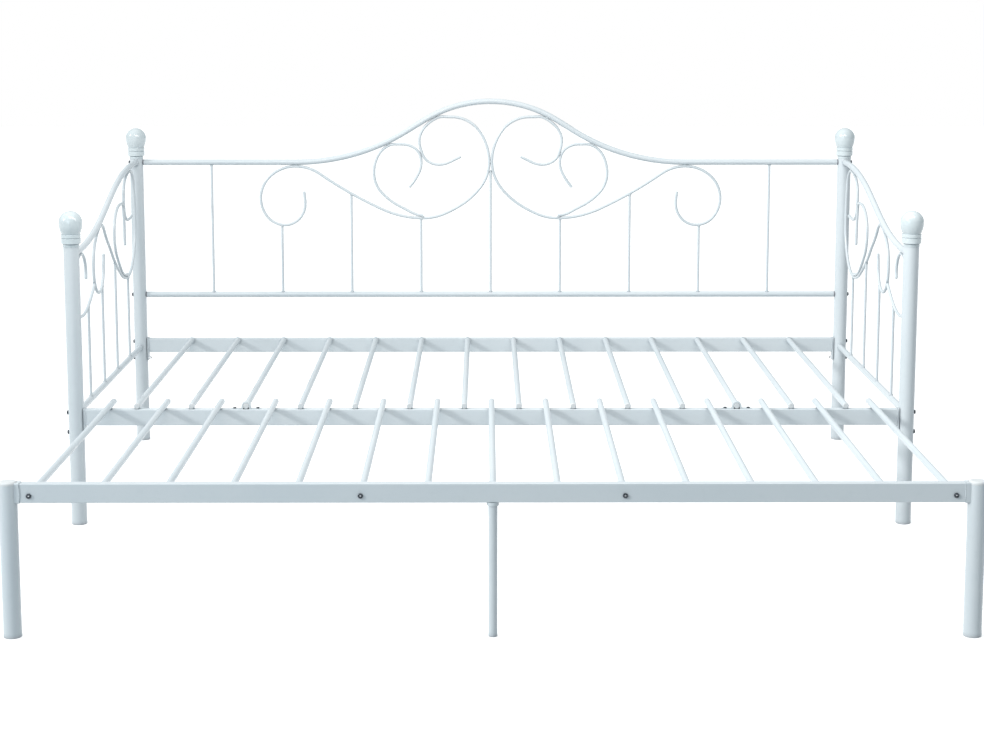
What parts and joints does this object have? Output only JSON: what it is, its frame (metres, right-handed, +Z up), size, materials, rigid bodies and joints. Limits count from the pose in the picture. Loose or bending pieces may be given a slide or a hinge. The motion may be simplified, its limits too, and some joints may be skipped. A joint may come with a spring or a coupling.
{
  "type": "pull-out daybed",
  "caption": "White metal daybed with scrolled back and side panels, ball-topped posts and a slatted lower frame that pulls out to double its width.",
  "frame": {"origin": "on the floor, under the middle of the bed with its lower frame pulled out", "axes": "+X along the bed to its right end, +Y to the back panel, +Z up"},
  "size_m": [2.107, 1.8244, 1.0038],
  "materials": {
    "powder_coat": "white powder coat, satin",
    "finial_plastic": "glossy white moulding",
    "foot_plastic": "matt white moulding",
    "cap_plastic": "satin white moulding",
    "plug_plastic": "matt white moulding",
    "insert_plastic": "matt grey moulding",
    "bolt_steel": "zinc-plated socket-head bolts",
    "zinc_steel": "zinc-plated"
  },
  "bodies": {
    "daybed_frame": {"back_balusters": "powder_coat", "back_inner_scroll_left": "powder_coat", "back_inner_scroll_right": "powder_coat", "back_lower_rail": "powder_coat", "back_panel_bolts": "bolt_steel", "back_rail_inserts": "insert_plastic", "back_scroll_left": "powder_coat", "back_scroll_right": "powder_coat", "back_top_rail": "powder_coat", "fixed_slat_plugs": "plug_plastic", "fixed_slats": "powder_coat", "frame_bolts": "bolt_steel", "frame_nuts": "zinc_steel", "front_finial_left": "finial_plastic", "front_finial_right": "finial_plastic", "front_foot_left": "foot_plastic", "front_foot_right": "foot_plastic", "front_post_left": "powder_coat", "front_post_right": "powder_coat", "front_rail": "powder_coat", "front_rail_plates": "powder_coat", "rear_finial_left": "finial_plastic", "rear_finial_right": "finial_plastic", "rear_foot_left": "foot_plastic", "rear_foot_right": "foot_plastic", "rear_post_left": "powder_coat", "rear_post_right": "powder_coat", "rear_rail": "powder_coat", "rear_rail_plates": "powder_coat", "saddle_screws": "bolt_steel", "side_balusters_left": "powder_coat", "side_balusters_right": "powder_coat", "side_front_curl_left": "powder_coat", "side_front_curl_right": "powder_coat", "side_inner_scroll_left": "powder_coat", "side_inner_scroll_right": "powder_coat", "side_lower_rail_left": "powder_coat", "side_lower_rail_right": "powder_coat", "side_scroll_left": "powder_coat", "side_scroll_right": "powder_coat", "side_top_rail_left": "powder_coat", "side_top_rail_right": "powder_coat", "slat_saddle_left": "powder_coat", "slat_saddle_right": "powder_coat"},
    "pullout_frame": {"centre_leg": "powder_coat", "centre_leg_collar": "powder_coat", "centre_leg_foot": "foot_plastic", "pullout_end_plates": "powder_coat", "pullout_foot_left": "foot_plastic", "pullout_foot_right": "foot_plastic", "pullout_leg_cap_left": "cap_plastic", "pullout_leg_cap_right": "cap_plastic", "pullout_leg_left": "powder_coat", "pullout_leg_right": "powder_coat", "pullout_rail": "powder_coat", "pullout_screws": "bolt_steel", "pullout_slat_plugs": "plug_plastic", "pullout_slats": "powder_coat", "slat_inserts": "zinc_steel"}
  },
  "joints": [
    {"name": "pullout_slide", "type": "slide", "parent": "daybed_frame", "child": "pullout_frame", "axis": [0, 1, 0], "range_m": [0, 0.822]}
  ]
}
